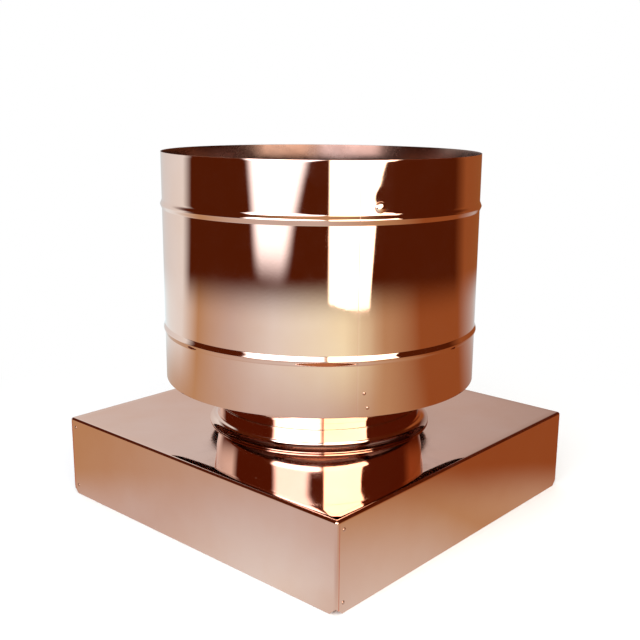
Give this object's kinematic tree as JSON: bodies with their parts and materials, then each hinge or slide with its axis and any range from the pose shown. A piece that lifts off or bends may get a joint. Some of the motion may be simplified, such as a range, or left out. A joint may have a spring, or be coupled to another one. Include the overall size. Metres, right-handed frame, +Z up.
{
  "type": "chimney cowl",
  "caption": "Round draught cowl of sheet copper: an open beaded drum round a flue pipe, on a square slip-over chimney pan.",
  "frame": {"origin": "middle of the pan's lower edges, on the surface that the cowl stands on", "axes": "+Z up along the pipe's axis; X and Y square to the pan's sides"},
  "size_m": [0.356, 0.356, 0.346],
  "materials": {
    "polished_copper": "mirror polished bare copper sheet",
    "strap_copper": "mill finished bare copper bar"
  },
  "bodies": {
    "root": {"pan": "polished_copper", "foot_collar": "polished_copper", "spigot": "polished_copper", "cowl_pipe": "polished_copper", "drum": "polished_copper", "weather_disc": "polished_copper", "strap_1": "strap_copper", "strap_2": "strap_copper", "strap_3": "strap_copper", "strap_4": "strap_copper"}
  },
  "joints": []
}
